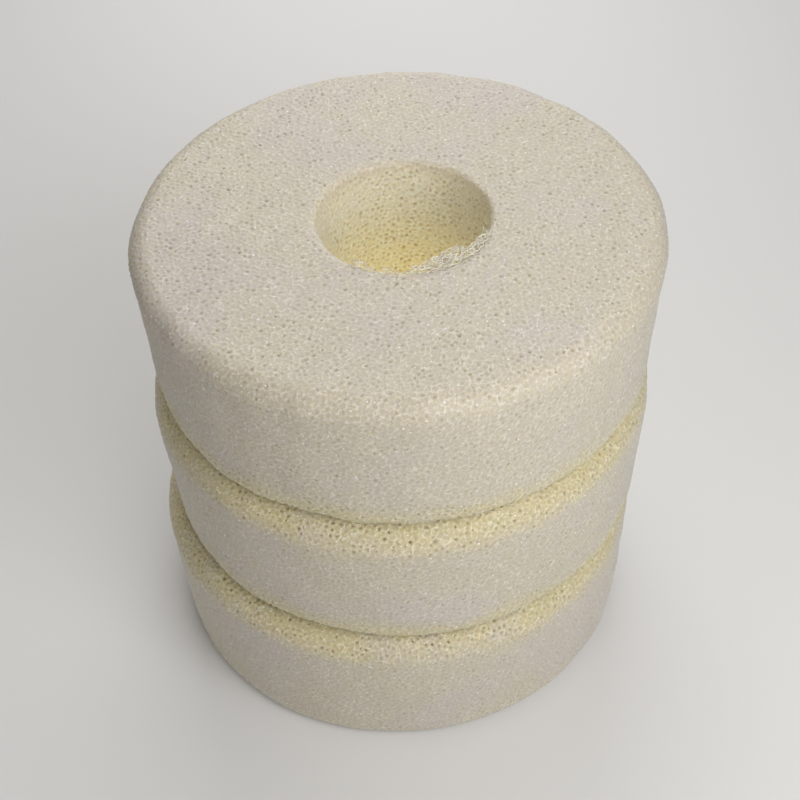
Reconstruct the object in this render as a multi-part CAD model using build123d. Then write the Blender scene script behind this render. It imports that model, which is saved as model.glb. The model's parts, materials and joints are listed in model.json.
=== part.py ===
from build123d import *
import os

# Foam filter stack for a pond pressure filter: three loose rings of open-cell foam, one on
# top of another, around the bore that the filter's centre tube passes through.
# Millimetres, +Z up. The origin is the middle of the underside of the lowest ring.

# Driving dimensions
RIM_DIAMETER = 150.0  # across a ring at its upper rim, before the rim is rounded
FOOT_DIAMETER = 144.0  # across a ring at its lower rim: the cut wall draws in a little
RING_HEIGHT = 50.0  # the foam is cut from 50 mm sheet
BORE_DIAMETER = 48.0  # hole for the filter's centre tube
WORN_ROUNDING = 9.0  # rims that rest against another ring are pressed round
FOOT_ROUNDING = 8.0  # lower rim of every ring
CROWN_ROUNDING = 3.0  # upper rim of the top ring, which nothing presses on

# Rings from the bottom up: node name and the rounding of its upper rim
RINGS = [
    ("bottom_ring", WORN_ROUNDING),
    ("middle_ring", WORN_ROUNDING),
    ("top_ring", CROWN_ROUNDING),
]


def foam_ring(underside, upper_rounding):
    """A thick foam disc with a slightly tapered wall, rounded rims and a sharp-edged bore."""
    with BuildPart() as ring:
        with Locations((0, 0, underside)):
            Cone(
                bottom_radius=FOOT_DIAMETER / 2,
                top_radius=RIM_DIAMETER / 2,
                height=RING_HEIGHT,
                align=(Align.CENTER, Align.CENTER, Align.MIN),
            )
        rims = ring.edges().filter_by(GeomType.CIRCLE).sort_by(Axis.Z)
        fillet(rims[-1], upper_rounding)
        rims = ring.edges().filter_by(GeomType.CIRCLE).sort_by(Axis.Z)
        fillet(rims[0], FOOT_ROUNDING)
        with Locations((0, 0, underside)):
            Cylinder(
                radius=BORE_DIAMETER / 2,
                height=RING_HEIGHT,
                align=(Align.CENTER, Align.CENTER, Align.MIN),
                mode=Mode.SUBTRACT,
            )
    return ring.part


os.makedirs("parts", exist_ok=True)
for place, (name, upper_rounding) in enumerate(RINGS):
    solid = foam_ring(place * RING_HEIGHT, upper_rounding)
    solid.label = name
    export_step(solid, f"parts/{name}.step")
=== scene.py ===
"""Three loose rings of open-cell filter foam, stacked round the bore of a pond filter.

Each ring is one closed mesh. A rounded outline is swept round the axis, and every point is then
moved in along its normal: a little where a random three-dimensional foam has its struts far below
the surface, and further where the middle of a foam cell lies just under it. So the lace of struts
and the open pores are real shape, and only struts finer than the mesh are colour alone. A net of
separate struts hangs into the top hole, where its cells are torn.
"""
import json
import math

import bpy
import numpy as np
from mathutils import Matrix, Vector


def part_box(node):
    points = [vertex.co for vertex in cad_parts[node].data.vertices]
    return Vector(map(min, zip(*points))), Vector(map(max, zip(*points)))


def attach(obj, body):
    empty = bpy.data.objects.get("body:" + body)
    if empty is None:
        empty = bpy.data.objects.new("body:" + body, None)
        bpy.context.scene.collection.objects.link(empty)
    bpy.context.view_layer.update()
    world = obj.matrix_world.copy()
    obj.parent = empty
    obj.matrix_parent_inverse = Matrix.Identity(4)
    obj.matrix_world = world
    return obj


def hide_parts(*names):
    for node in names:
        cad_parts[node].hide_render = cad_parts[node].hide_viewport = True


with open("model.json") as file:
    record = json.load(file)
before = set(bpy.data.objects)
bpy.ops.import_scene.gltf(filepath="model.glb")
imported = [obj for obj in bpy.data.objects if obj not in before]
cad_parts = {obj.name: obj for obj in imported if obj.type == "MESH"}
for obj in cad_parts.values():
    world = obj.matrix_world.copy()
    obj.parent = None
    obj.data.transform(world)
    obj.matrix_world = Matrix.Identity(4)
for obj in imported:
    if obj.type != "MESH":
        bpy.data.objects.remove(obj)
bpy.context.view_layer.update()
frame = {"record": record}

MM = 0.001
RINGS = ["bottom", "middle", "top"]  # body names, lowest first; the nodes are bottom_ring and so on

# Foam structure, millimetres
CELL = 1.9  # edge of the cubic cell that holds two foam cells
CELLS_PER_BLOCK = 11  # the foam repeats every so many cubic cells, at an odd angle to the rings
SAMPLES_PER_CELL = 11
CELL_JITTER = 0.3  # how far a foam cell's centre strays, in cells
STRUT = 0.12  # third minus first distance to the cell centres, in cells, inside a strut
PIT_DEPTH = 1.6  # as far in as the eye sees between the struts
MARCH_STEP = 0.2
PORE_REACHES = (0.3, 0.9)  # how far under the skin a cell's middle shows as a pore
PORE_EDGE = (0.48, 0.74)  # third minus first distance there, from no pore to the middle of one
BORE_OPENNESS = 0.07  # how much sooner a pore shows in the bore

# Relief of the lace of struts, and of the pores in it, for each region, millimetres
FACE_RELIEF = (0.20, 0.35)
WALL_RELIEF = (0.18, 0.22)
BAND_RELIEF = (0.28, 0.75)
BORE_RELIEF = (0.22, 0.42)

# Mesh spacing, millimetres
SHOWN_SPACING = 0.3
HIDDEN_SPACING = 0.7
AROUND = 1600  # points round the outer wall
HALF_INSIDE = 50  # within this radius half as many points go round
QUARTER_INSIDE = 26  # and within this one a quarter

# Outline roundings, millimetres
FOOT_ROUNDING = 5.5
PRESSED_ROUNDING = 8.0
CROWN_ROUNDING = 6.5
BORE_ROUNDING = 1.2
MOUTH_ROUNDING = 1.8  # of the hole in the stack's top face
WALL_DRAW_IN = 3.0  # how much narrower a ring is at its foot
CROWN_OPEN_SHADED_BAND = (2, 13)  # open strip down a covered ring's wall, painted darker and yellower as shade in the crease under the ring above: whole to here, gone at here
FOOT_OPEN_SHADED_BAND = (3, 13)  # and the one up the wall of the ring that covers it, with the same painted shade
BAND_UNEVENNESS = (3, 2)  # how far the two strips' far edges stray
BAND_FADE = (38, 62)  # from no strip to the whole of it, by distance from the axis
MOUTH_FADE = (0, 6)  # from the colours of the top face to the mouth's, by depth down the top hole
HOLLOW_FADE = (10, 46)  # and on from there to the deep bore's
WAVE = 0.35  # unevenness of the cut surfaces
FLAT_DRAW_IN = 1.5  # in waves, so that the flat faces cut neither the floor nor the next ring
WAVE_COUNT = 10
WAVE_RATE = 0.14  # radians per millimetre
SLIP_FADE = 60  # the hole's own slip is spread from the bore out to this radius
FACING = (0.3, 0.9)  # how squarely a surface has to face the axis, or away from it, to be bore or wall

# How this stack sits: sideways slip of each ring and of the top hole, millimetres
SLIP = {"bottom": -2.6, "middle": 0.0, "top": 1.0}
HOLE_SLIP = {"bottom": 0.0, "middle": 0.0, "top": 1.9}

# Torn cells at the front right of the top hole: angles in degrees, the rest in millimetres
TORN_FROM = -128
TORN_TO = -20
TORN_MIDDLE = -56  # where the net reaches furthest in
TORN_SPREAD = 20
TORN_LAYERS = (0.1, 0.9, 1.8)  # each net's depth below the top face
TORN_COLUMNS = 40
TORN_ROWS = 9
TORN_ROW_STEP = 0.95
TORN_STRAY = 0.36
TORN_ROWS_LEFT = 1.6  # rows of cells left at the ends of the net
TORN_ROWS_MORE = 5.8  # and how many more in its middle
TORN_RAGGEDNESS = 1.3
TORN_STRUT = (0.26, 0.4)
TORN_GAPS = 0.12  # share of the struts that are missing

# Foam colours: a strut at the skin, the foam behind it, and the middle of a pore. Deeper is darker and
# yellower: partly the foam seen further in, partly painted shade in the pits and pores
FRESH = ((0.715, 0.67, 0.575), (0.585, 0.535, 0.435), (0.46, 0.40, 0.27))
GREY = ((0.69, 0.64, 0.595), (0.585, 0.535, 0.485), (0.47, 0.405, 0.32))
# Open strips by the creases between rings: more open pores, and painted shade, darker and yellower where
# one ring presses on the next
OPEN_PAINTED_SHADE = ((0.76, 0.705, 0.51), (0.61, 0.54, 0.335), (0.36, 0.27, 0.11))
# Painted light: the top hole's rim is lighter than the top face, lifting the shade on its rounding
MOUTH_PAINTED_LIGHT = ((0.78, 0.755, 0.64), (0.69, 0.645, 0.50), (0.53, 0.45, 0.27))
# Painted light: the bore is brighter and yellower, standing in for light that passes through the open
# foam and scatters in it
HOLLOW_PAINTED_LIGHT = ((0.96, 0.90, 0.60), (0.83, 0.72, 0.37), (0.60, 0.44, 0.15))
# Painted light: the loose struts are lighter to make up for the shade they hang in
LOOSE_STRUT_PAINTED_LIGHT = (0.92, 0.89, 0.78)

# Colour patterns, in features per metre
LINES = 620  # struts too fine for the mesh
LINE_BREAKS = 1300
LINE_BENDS = 900
GLINTS = 480
CLOUDS = 26  # fresher and greyer foam
BAND_PATCHES = 60  # where a strip's painted shade is stronger or weaker
STRUT_PATCHES = 400

# Camera: looking down by PITCH, rolled by ROLL radians, DISTANCE millimetres off TARGET
PITCH = math.radians(45.4)
ROLL = -0.05
DISTANCE = 485.9
TARGET = (-0.6, 0.0, 77.2)
LENS = 71.1


def foam_block(seed):
    """Third minus first distance to the nearest cell centres over one periodic block."""
    rng = np.random.default_rng(seed)
    count = CELLS_PER_BLOCK
    jitter = rng.uniform(-CELL_JITTER, CELL_JITTER, (2, count, count, count, 3)).astype(np.float32)
    side = count * SAMPLES_PER_CELL
    place = (np.arange(side, dtype=np.float32)) / SAMPLES_PER_CELL
    cell = np.floor(place).astype(int)
    first = np.full((side, side, side), 9.0, np.float32)
    second = first.copy()
    third = first.copy()
    steps = [(i, j, k) for i in (-1, 0, 1) for j in (-1, 0, 1) for k in (-1, 0, 1)]
    near = [(0, s) for s in steps if min(s) >= 0]
    near += [(1, s) for s in steps if sum(map(abs, s)) <= 2]
    for kind, step in near:
        home = [cell + s for s in step]
        index = np.ix_(*[h % count for h in home])
        gap = np.zeros_like(first)
        for axis in range(3):
            shape = [1, 1, 1]
            shape[axis] = side
            base = (home[axis] + 0.5 * kind - place).astype(np.float32).reshape(shape)
            gap += (base + jitter[kind][index + (axis,)]) ** 2
        gap = np.sqrt(gap)
        third = np.minimum(third, np.maximum(second, gap))
        second = np.minimum(second, np.maximum(first, gap))
        first = np.minimum(first, gap)
    return third - first


def sample(block, points):
    """The block's value at points in millimetres, smoothly between its samples."""
    side = block.shape[0]
    place = points * (SAMPLES_PER_CELL / CELL)
    low = np.floor(place).astype(np.int32)
    part = (place - low).astype(np.float32)
    low %= side
    high = (low + 1) % side
    flat = block.ravel()
    value = 0.0
    for corner in range(8):
        weight = 1.0
        index = 0
        for axis in range(3):
            upper = corner >> axis & 1
            weight = weight * (part[:, axis] if upper else 1 - part[:, axis])
            index = index * side + (high if upper else low)[:, axis]
        value = value + weight * flat[index]
    return value


def strut_depth(block, points, inward):
    """How far in from each point the first strut lies, or PIT_DEPTH if none is found."""
    depth = np.full(len(points), PIT_DEPTH, np.float32)
    live = np.arange(len(points))
    before = sample(block, points) - STRUT
    depth[before <= 0] = 0
    live = live[before > 0]
    before = before[before > 0]
    for k in range(1, round(PIT_DEPTH / MARCH_STEP)):
        reach = k * MARCH_STEP
        now = sample(block, points[live] + inward[live] * reach) - STRUT
        hit = now <= 0
        part = before[hit] / (before[hit] - now[hit])
        depth[live[hit]] = reach - MARCH_STEP * (1 - part)
        live, before = live[~hit], now[~hit]
    return depth


def rounded_loop(corners, radii, spacings):
    """Points and outward normals round a closed convex outline with rounded corners.

    corners run anticlockwise in (radius, height); spacings[i] is for the run from corner i on.
    """
    points, normals = [], []
    count = len(corners)
    corners = [np.array(c, float) for c in corners]
    starts, ends, centres = [], [], []
    for i in range(count):
        back = corners[i - 1] - corners[i]
        ahead = corners[(i + 1) % count] - corners[i]
        back /= np.linalg.norm(back)
        ahead /= np.linalg.norm(ahead)
        half = math.acos(float(np.dot(back, ahead))) / 2
        reach = radii[i] / math.tan(half)
        bisector = (back + ahead) / np.linalg.norm(back + ahead)
        starts.append(corners[i] + back * reach)
        ends.append(corners[i] + ahead * reach)
        centres.append(corners[i] + bisector * radii[i] / math.sin(half))
    for i in range(count):
        a = starts[i] - centres[i]
        b = ends[i] - centres[i]
        turn = math.acos(max(-1, min(1, float(np.dot(a, b)) / radii[i] ** 2)))
        spacing = min(spacings[i], spacings[i - 1])
        steps = max(3, math.ceil(radii[i] * turn / spacing))
        angle = math.atan2(a[1], a[0])
        for k in range(steps):
            t = angle + turn * k / steps
            normal = np.array([math.cos(t), math.sin(t)])
            points.append(centres[i] + radii[i] * normal)
            normals.append(normal)
        run = starts[(i + 1) % count] - ends[i]
        length = np.linalg.norm(run)
        steps = max(1, round(length / spacings[i]))
        normal = np.array([run[1], -run[0]]) / length
        for k in range(steps):
            points.append(ends[i] + run * k / steps)
            normals.append(normal)
    return np.array(points), np.array(normals)


def ring_outline(name):
    """The cut through a ring's wall as points and normals in (radius, height), from its CAD box."""
    low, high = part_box(name + "_ring")
    foot_z, crown_z = low[2] / MM, high[2] / MM
    rim = (high[0] - low[0]) / 2 / MM
    bore = frame["record"]["mounts"][0]["dims"]["r_mm"]
    crown = CROWN_ROUNDING if name == "top" else PRESSED_ROUNDING
    corners = [(bore, foot_z), (rim - WALL_DRAW_IN, foot_z), (rim, crown_z), (bore, crown_z)]
    mouth = MOUTH_ROUNDING if name == "top" else BORE_ROUNDING
    radii = [BORE_ROUNDING, FOOT_ROUNDING, crown, mouth]
    under = SHOWN_SPACING if name == "bottom" else HIDDEN_SPACING
    over = SHOWN_SPACING if name == "top" else HIDDEN_SPACING
    return rounded_loop(corners, radii, [under, SHOWN_SPACING, over, SHOWN_SPACING])


def row_counts(radius):
    """Points round each row: fewer nearer the axis, and at most a doubling from row to row."""
    counts = np.full(len(radius), AROUND)
    counts[radius < HALF_INSIDE] = AROUND // 2
    counts[radius < QUARTER_INSIDE] = AROUND // 4
    return counts


def stitched_faces(counts):
    """Quads between rows of equal count and triangles where the count doubles or halves."""
    starts = np.concatenate([[0], np.cumsum(counts)])
    quads, triangles = [], []
    total = len(counts)
    for row in range(total):
        a, b = counts[row], counts[(row + 1) % total]
        first, second = starts[row], starts[(row + 1) % total]
        if a == b:
            i = np.arange(a)
            j = (i + 1) % a
            quads.append(np.stack([first + i, first + j, second + j, second + i], 1))
            continue
        few, many = min(a, b), max(a, b)
        inner, outer = (first, second) if a < b else (second, first)
        i = np.arange(few)
        j = (i + 1) % few
        p, q, r = outer + 2 * i, outer + 2 * i + 1, outer + (2 * i + 2) % many
        fan = [(inner + i, inner + j, q), (p, inner + i, q), (q, inner + j, r)]
        for corner in fan:
            face = np.stack(corner, 1)
            triangles.append(face if a < b else face[:, ::-1])
    return np.concatenate(quads), np.concatenate(triangles)


def turned(seed):
    """A fixed odd rotation, so that the block's repeats never line up with the ring."""
    rng = np.random.default_rng(seed)
    basis, _ = np.linalg.qr(rng.normal(size=(3, 3)))
    return basis.astype(np.float32)


def smooth_step(low, high, value):
    t = np.clip((value - low) / (high - low), 0, 1)
    return t * t * (3 - 2 * t)


def waviness(points, seed):
    """A slow unevenness over the ring, between about -1 and 1."""
    rng = np.random.default_rng(seed + 50)
    total = np.zeros(len(points))
    for _ in range(WAVE_COUNT):
        wave = rng.normal(size=3) * WAVE_RATE
        total += np.sin(points @ wave + rng.uniform(0, 2 * math.pi))
    return total / 4


def regions(name, points, normals):
    """For each point: both reliefs, how far it is in an open strip painted with the crease's shade, and
    how deep in the bore.
    """
    low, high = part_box(name + "_ring")
    below = high[2] / MM - points[:, 2]
    above = points[:, 2] - low[2] / MM
    radius = np.hypot(points[:, 0], points[:, 1])
    facing_axis = -(points[:, :2] * normals[:, :2]).sum(1) / radius
    in_bore = smooth_step(*FACING, facing_axis)
    on_wall = smooth_step(*FACING, -facing_axis)
    near_rim = smooth_step(*BAND_FADE, radius)
    unevenness = waviness(points, len(name))
    open_shaded_band = np.zeros(len(points))
    hollow = 0.5 * in_bore
    if name == "top":
        hollow = in_bore * (smooth_step(*MOUTH_FADE, below) + smooth_step(*HOLLOW_FADE, below)) / 2
    else:
        open_shaded_band += 1 - smooth_step(CROWN_OPEN_SHADED_BAND[0], CROWN_OPEN_SHADED_BAND[1] + BAND_UNEVENNESS[0] * unevenness, below)
    if name != "bottom":
        foot = 1 - smooth_step(FOOT_OPEN_SHADED_BAND[0], FOOT_OPEN_SHADED_BAND[1] + BAND_UNEVENNESS[1] * unevenness, above)
        open_shaded_band = np.maximum(open_shaded_band, foot)
    open_shaded_band *= (1 - in_bore) * near_rim
    reliefs = []
    for face, wall, open_band, bore in zip(FACE_RELIEF, WALL_RELIEF, BAND_RELIEF, BORE_RELIEF):
        relief = face + (wall - face) * on_wall + (bore - face) * in_bore
        reliefs.append(relief + (open_band - relief) * open_shaded_band)
    return reliefs, open_shaded_band, hollow


def bake_layout(mesh, faces, across, along):
    """A map for baked textures: round the axis one way, along the outline the other."""
    layer = mesh.uv_layers.new(name="OFBake")
    places = []
    for corners in faces:
        u, v = across[corners], along[corners]
        for value in (u, v):
            wraps = value.max(1) - value.min(1) > 0.5
            value[wraps[:, None] & (value < 0.5)] = 1
        places.append(np.stack([u, v], 2).reshape(-1, 2))
    layer.data.foreach_set("uv", np.concatenate(places).astype(np.float32).ravel())


def swept(name):
    """A ring's smooth surface: row and angle of each point, its place and normal, and the outline."""
    outline, slope = ring_outline(name)
    counts = row_counts(outline[:, 0])
    row = np.repeat(np.arange(len(counts)), counts)
    start = np.repeat(np.concatenate([[0], np.cumsum(counts)[:-1]]), counts)
    angle = 2 * math.pi * (np.arange(len(row)) - start) / counts[row]
    around = np.stack([np.cos(angle), np.sin(angle)], 1)
    radius, height = outline[row, 0], outline[row, 1]
    points = np.column_stack([around * radius[:, None], height]).astype(np.float32)
    normals = np.column_stack([around * slope[row, :1], slope[row, 1]]).astype(np.float32)
    return outline, counts, row, angle, radius, points, normals


def filled_mesh(title, points, quads, triangles, layers):
    """A smooth-shaded mesh of points in millimetres, with a named value per point for each layer."""
    mesh = bpy.data.meshes.new(title)
    mesh.vertices.add(len(points))
    mesh.vertices.foreach_set("co", (points * MM).ravel())
    loops = np.concatenate([quads.ravel(), triangles.ravel()]).astype(np.int32)
    mesh.loops.add(len(loops))
    mesh.loops.foreach_set("vertex_index", loops)
    sizes = np.concatenate([np.full(len(quads), 4), np.full(len(triangles), 3)])
    mesh.polygons.add(len(sizes))
    first = np.concatenate([[0], np.cumsum(sizes)[:-1]]).astype(np.int32)
    mesh.polygons.foreach_set("loop_start", first)
    mesh.polygons.foreach_set("use_smooth", np.ones(len(sizes), bool))
    for layer_title, value in layers.items():
        layer = mesh.attributes.new(layer_title, "FLOAT", "POINT")
        layer.data.foreach_set("value", value.astype(np.float32))
    return mesh


def in_scene(title, data):
    piece = bpy.data.objects.new(title, data)
    bpy.context.scene.collection.objects.link(piece)
    return piece


def foam_ring(name, block, seed):
    outline, counts, row, angle, radius, points, normals = swept(name)
    spin = turned(seed)
    place = points @ spin + 100.0
    inward = -normals @ spin
    depth = strut_depth(block, place, inward)
    middles = [sample(block, place - reach * normals @ spin) for reach in PORE_REACHES]
    (lace, hole), open_shaded_band, hollow = regions(name, points, normals)
    openness = BORE_OPENNESS * np.minimum(2 * hollow, 1)
    pore = smooth_step(*PORE_EDGE, np.maximum(*middles) + openness)
    wave = WAVE * (waviness(points, seed) - FLAT_DRAW_IN * np.abs(normals[:, 2]))
    shift = wave - lace * (1 - np.exp(-depth / lace)) - hole * pore
    points += normals * shift[:, None]
    hole_share = np.clip((SLIP_FADE - radius) / (SLIP_FADE - outline[:, 0].min()), 0, 1)
    points[:, 0] += SLIP[name] + HOLE_SLIP[name] * hole_share
    quads, triangles = stitched_faces(counts)
    layers = {"pit": depth / PIT_DEPTH, "pore": pore, "open_shaded_band": open_shaded_band, "hollow": hollow}
    mesh = filled_mesh(name + "_foam", points, quads, triangles, layers)
    step = np.linalg.norm(outline - np.roll(outline, 1, 0), axis=1)
    along = np.cumsum(step) - step[0]
    bake_layout(mesh, (quads, triangles), angle / (2 * math.pi), (along / step.sum())[row])
    mesh.update(calc_edges=True)
    mesh.validate()
    return in_scene(name + "_foam", mesh)


def strand(places, thickness, sides=5):
    """A closed thin tube through a few places."""
    places = [Vector(p) for p in places]
    points, faces = [], []
    for i, place in enumerate(places):
        run = places[min(i + 1, len(places) - 1)] - places[max(i - 1, 0)]
        turn = run.to_track_quat("Z", "X")
        for k in range(sides):
            t = 2 * math.pi * k / sides
            points.append(place + turn @ Vector((math.cos(t), math.sin(t), 0)) * thickness / 2)
    for i in range(len(places) - 1):
        a, b = i * sides, (i + 1) * sides
        for k in range(sides):
            n = (k + 1) % sides
            faces.append((a + k, a + n, b + n, b + k))
    faces.append(tuple(range(sides))[::-1])
    faces.append(tuple(range(len(points) - sides, len(points))))
    return points, faces


def net_nodes(rng, angles, drop):
    """Where the struts of one torn layer meet, by column round the hole and row into it."""
    radius = frame["record"]["mounts"][0]["dims"]["r_mm"]
    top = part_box("top_ring")[1][2] / MM
    shift = SLIP["top"] + HOLE_SLIP["top"]
    nodes = {}
    for i in range(TORN_COLUMNS):
        for j in range(TORN_ROWS):
            stray = rng.uniform(-TORN_STRAY, TORN_STRAY, 3)
            inward = TORN_ROW_STEP * j + (0.5 if (i + j) % 2 else 0) - 1.2 + stray[0]
            angle = angles[i] + stray[1] / radius
            place = Vector((math.cos(angle), math.sin(angle), 0)) * (radius - inward)
            nodes[i, j] = place + Vector((shift, 0, top - drop - 0.12 * max(inward, 0) + stray[2]))
    return nodes


def net_pairs(rng, nodes, rows_left):
    """Which nodes a strut joins: a brick pattern, cut off at each column's torn edge."""
    for i, j in nodes:
        for other in ((i + 1, j), (i, j + 1)):
            upright = other[0] == i
            if other not in nodes or (upright and (i + j) % 2 == 0):
                continue
            if other[1] > min(rows_left[i], rows_left[other[0]]) or rng.uniform() < TORN_GAPS:
                continue
            yield (i, j), other


def torn_mouth():
    """Open cells torn at the front right of the top hole: nets of struts hanging into it."""
    rng = np.random.default_rng(12)
    angles = np.radians(np.linspace(TORN_FROM, TORN_TO, TORN_COLUMNS))
    points, faces = [], []
    for drop in TORN_LAYERS:
        uneven = np.convolve(rng.normal(size=TORN_COLUMNS), [0.4, 0.6, 0.4], "same")
        tongue = np.exp(-((np.degrees(angles) - TORN_MIDDLE) / TORN_SPREAD) ** 2)
        rows_left = TORN_ROWS_LEFT + TORN_ROWS_MORE * tongue + TORN_RAGGEDNESS * uneven
        nodes = net_nodes(rng, angles, drop)
        for one, other in net_pairs(rng, nodes, rows_left):
            bend = (nodes[one] + nodes[other]) / 2 + Vector(rng.uniform(-0.15, 0.15, 3))
            more, extra = strand([nodes[one], bend, nodes[other]], rng.uniform(*TORN_STRUT))
            faces += [tuple(len(points) + v for v in face) for face in extra]
            points += more
    mesh = bpy.data.meshes.new("top_torn_mouth")
    mesh.from_pydata([p * MM for p in points], [], faces)
    mesh.shade_smooth()
    return in_scene("top_torn_mouth", mesh)


class Nodes:
    """Short ways to add the few kinds of shader node the foam needs."""

    def __init__(self, tree):
        self.tree = tree
        self.place = tree.nodes.new("ShaderNodeTexCoord").outputs["Object"]

    def attribute(self, title):
        node = self.tree.nodes.new("ShaderNodeAttribute")
        node.attribute_name = title
        return node.outputs["Fac"]

    def ranged(self, source, low, high):
        node = self.tree.nodes.new("ShaderNodeMapRange")
        node.inputs["From Min"].default_value = low
        node.inputs["From Max"].default_value = high
        self.tree.links.new(source, node.inputs["Value"])
        return node.outputs["Result"]

    def noise(self, scale):
        node = self.tree.nodes.new("ShaderNodeTexNoise")
        node.inputs["Scale"].default_value = scale
        node.inputs["Detail"].default_value = 2.0
        self.tree.links.new(self.place, node.inputs["Vector"])
        return node

    def voronoi(self, feature, scale, place=None):
        node = self.tree.nodes.new("ShaderNodeTexVoronoi")
        node.feature = feature
        node.inputs["Scale"].default_value = scale
        self.tree.links.new(place or self.place, node.inputs["Vector"])
        return node

    def times(self, first, second):
        node = self.tree.nodes.new("ShaderNodeMath")
        node.operation = "MULTIPLY"
        for socket, value in zip(node.inputs, (first, second)):
            if isinstance(value, float):
                socket.default_value = value
            else:
                self.tree.links.new(value, socket)
        return node.outputs["Value"]

    def mix(self, factor, first, second):
        node = self.tree.nodes.new("ShaderNodeMix")
        node.data_type = "RGBA"
        self.tree.links.new(factor, node.inputs["Factor"])
        colours = [i for i in node.inputs if i.type == "RGBA"]
        for socket, value in zip(colours, (first, second)):
            if isinstance(value, tuple):
                socket.default_value = (*value, 1)
            else:
                self.tree.links.new(value, socket)
        return [o for o in node.outputs if o.type == "RGBA"][0]

    def bent_place(self, scale, reach):
        """The position, moved about a little by a noise."""
        around = self.tree.nodes.new("ShaderNodeVectorMath")
        around.operation = "MULTIPLY_ADD"
        around.inputs[1].default_value = (reach, reach, reach)
        self.tree.links.new(self.noise(scale).outputs["Color"], around.inputs[0])
        self.tree.links.new(self.place, around.inputs[2])
        return around.outputs["Vector"]


def foam_material():
    mat = bpy.data.materials.new("foam")
    mat.use_nodes = True
    tree = mat.node_tree
    shader = tree.nodes["Principled BSDF"]
    shader.inputs["Roughness"].default_value = 0.5
    shader.inputs["Subsurface Weight"].default_value = 1.0
    shader.inputs["Subsurface Scale"].default_value = 0.005
    shader.inputs["Subsurface Radius"].default_value = (1.0, 0.85, 0.5)
    n = Nodes(tree)
    pit, pore = n.ranged(n.attribute("pit"), 0.0, 0.45), n.attribute("pore")

    # Fine struts the mesh is too coarse for: broken curved lines
    bent = n.bent_place(LINE_BENDS, 0.0012)
    lines = n.ranged(n.voronoi("DISTANCE_TO_EDGE", LINES, bent).outputs["Distance"], 0.10, 0.03)
    broken = n.ranged(n.noise(LINE_BREAKS).outputs["Fac"], 0.45, 0.55)
    fine = n.times(n.times(lines, broken), 0.6)

    # Darker from strut to pit to pore middle: partly the foam seen further in, partly painted shade
    def depths(colours):
        strut, behind, middle = colours
        base = n.mix(pore, n.mix(pit, strut, behind), middle)
        return n.mix(fine, base, strut)

    clean = n.mix(n.ranged(n.noise(CLOUDS).outputs["Fac"], 0.45, 0.75), depths(FRESH), depths(GREY))
    # Painted shade in the creases between rings, stronger and weaker in patches
    patches = n.ranged(n.noise(BAND_PATCHES).outputs["Fac"], 0.2, 0.5)
    opened = n.mix(n.times(n.attribute("open_shaded_band"), patches), clean, depths(OPEN_PAINTED_SHADE))
    hollow = n.attribute("hollow")
    # Painted light on the top hole's rim
    mouth = n.mix(n.ranged(hollow, 0.0, 0.5), opened, depths(MOUTH_PAINTED_LIGHT))
    # Painted light deeper in the bore
    base = n.mix(n.ranged(hollow, 0.5, 1.0), mouth, depths(HOLLOW_PAINTED_LIGHT))

    # Glints: a few bright specks where a strut's skin catches the light
    speck = n.voronoi("F1", GLINTS)
    split = tree.nodes.new("ShaderNodeSeparateColor")
    tree.links.new(speck.outputs["Color"], split.inputs["Color"])
    few = n.ranged(split.outputs["Red"], 0.55, 0.56)
    glint = n.times(n.ranged(speck.outputs["Distance"], 0.13, 0.08), few)
    tree.links.new(n.mix(glint, base, (1.0, 1.0, 1.0)), shader.inputs["Base Color"])
    return mat


def strut_material():
    mat = bpy.data.materials.new("loose_strut")
    mat.use_nodes = True
    tree = mat.node_tree
    shader = tree.nodes["Principled BSDF"]
    shader.inputs["Roughness"].default_value = 0.4
    n = Nodes(tree)
    shade = n.ranged(n.noise(STRUT_PATCHES).outputs["Fac"], 0.35, 0.65)
    # Loose struts painted lighter against the shade in the hole, in patches of the plain strut colour
    tree.links.new(n.mix(shade, LOOSE_STRUT_PAINTED_LIGHT, FRESH[0]), shader.inputs["Base Color"])
    return mat


def floor():
    mesh = bpy.data.meshes.new("floor")
    sides, radius = 96, 6.0
    turns = [2 * math.pi * k / sides for k in range(sides)]
    rim = [(radius * math.cos(t), radius * math.sin(t), 0) for t in turns]
    mesh.from_pydata(rim, [], [tuple(range(sides))])
    mat = bpy.data.materials.new("floor")
    mat.use_nodes = True
    shader = mat.node_tree.nodes["Principled BSDF"]
    shader.inputs["Base Color"].default_value = (0.8, 0.8, 0.8, 1)
    shader.inputs["Roughness"].default_value = 0.9
    mesh.materials.append(mat)
    in_scene("floor", mesh)


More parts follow.
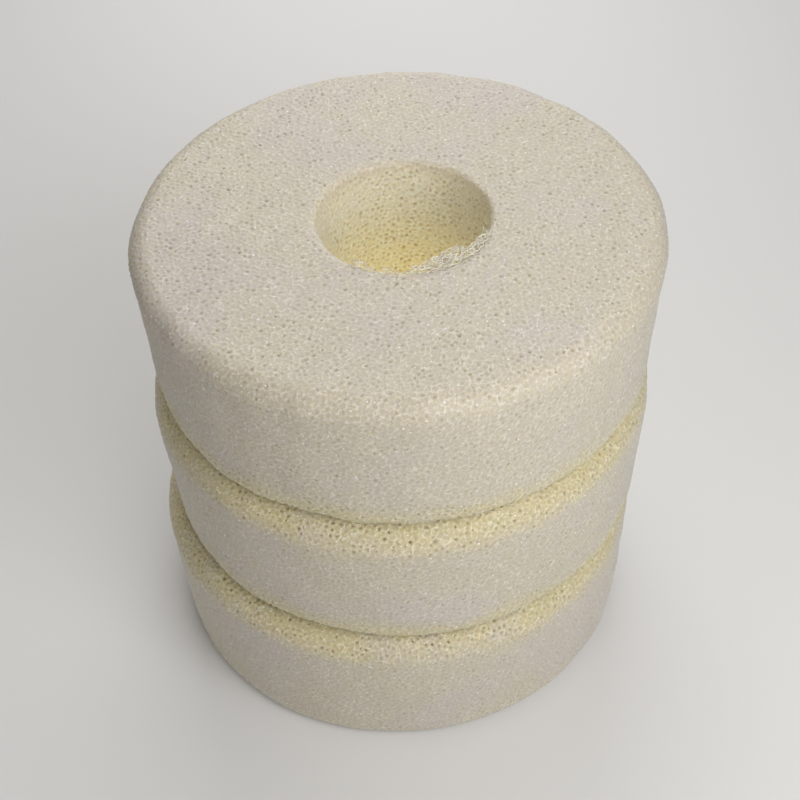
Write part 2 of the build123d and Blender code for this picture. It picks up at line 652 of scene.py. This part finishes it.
def place_lamp(name, kind, place, size, power):
    data = bpy.data.lights.new(name, kind)
    if kind == "AREA":
        data.size = size
    else:
        data.shadow_soft_size = size
    data.energy = power
    lamp = in_scene(name, data)
    lamp.location = place
    lamp.visible_camera = False
    return lamp


def area_light(name, middle, distance, azimuth, elevation, size, power):
    """A soft lamp aimed at middle; azimuth 0 is the front, positive to the right."""
    flat = distance * math.cos(elevation)
    reach = Vector((flat * math.sin(azimuth), -flat * math.cos(azimuth), distance * math.sin(elevation)))
    lamp = place_lamp(name, "AREA", Vector(middle) + reach, size, power)
    lamp.rotation_euler = reach.to_track_quat("Z", "Y").to_euler()


def studio():
    world = bpy.data.worlds.new("studio")
    world.use_nodes = True
    back = world.node_tree.nodes["Background"]
    back.inputs["Color"].default_value = (1, 0.96, 0.89, 1)
    back.inputs["Strength"].default_value = 0.28
    bpy.context.scene.world = world
    stack, ground_behind = (0, 0, 0.08), (0, 0.24, 0)
    area_light("front", stack, 0.45, math.radians(26), math.radians(37), 0.3, 1.25)
    area_light("back", stack, 0.45, math.radians(180), math.radians(60), 0.3, 0.52)
    area_light("ground", ground_behind, 0.45, math.radians(180), math.radians(50), 0.4, 0.9)
    # Open foam lets light through to the bore, which the solid meshes here don't
    place_lamp("bore", "POINT", (0.005, 0, 0.1), 0.018, 0.0118)
    bpy.context.scene.view_settings.view_transform = "Standard"


def camera():
    data = bpy.data.cameras.new("camera")
    data.lens = LENS
    data.sensor_width = 36
    back = Vector((0, -math.cos(PITCH), math.sin(PITCH)))
    right = Vector((1, 0, 0))
    up = back.cross(right)
    side = right * math.cos(ROLL) + up * math.sin(ROLL)
    top = up * math.cos(ROLL) - right * math.sin(ROLL)
    place = (Vector(TARGET) + back * DISTANCE) * MM
    piece = in_scene("camera", data)
    piece.matrix_world = Matrix.Translation(place) @ Matrix((side, top, back)).transposed().to_4x4()
    bpy.context.scene.camera = piece


block = foam_block(seed=3)
material = foam_material()
for number, name in enumerate(RINGS):
    ring = foam_ring(name, block, seed=number)
    ring.data.materials.append(material)
    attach(ring, name)
    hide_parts(name + "_ring")
mouth = torn_mouth()
mouth.data.materials.append(strut_material())
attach(mouth, "top")
floor()
studio()
camera()
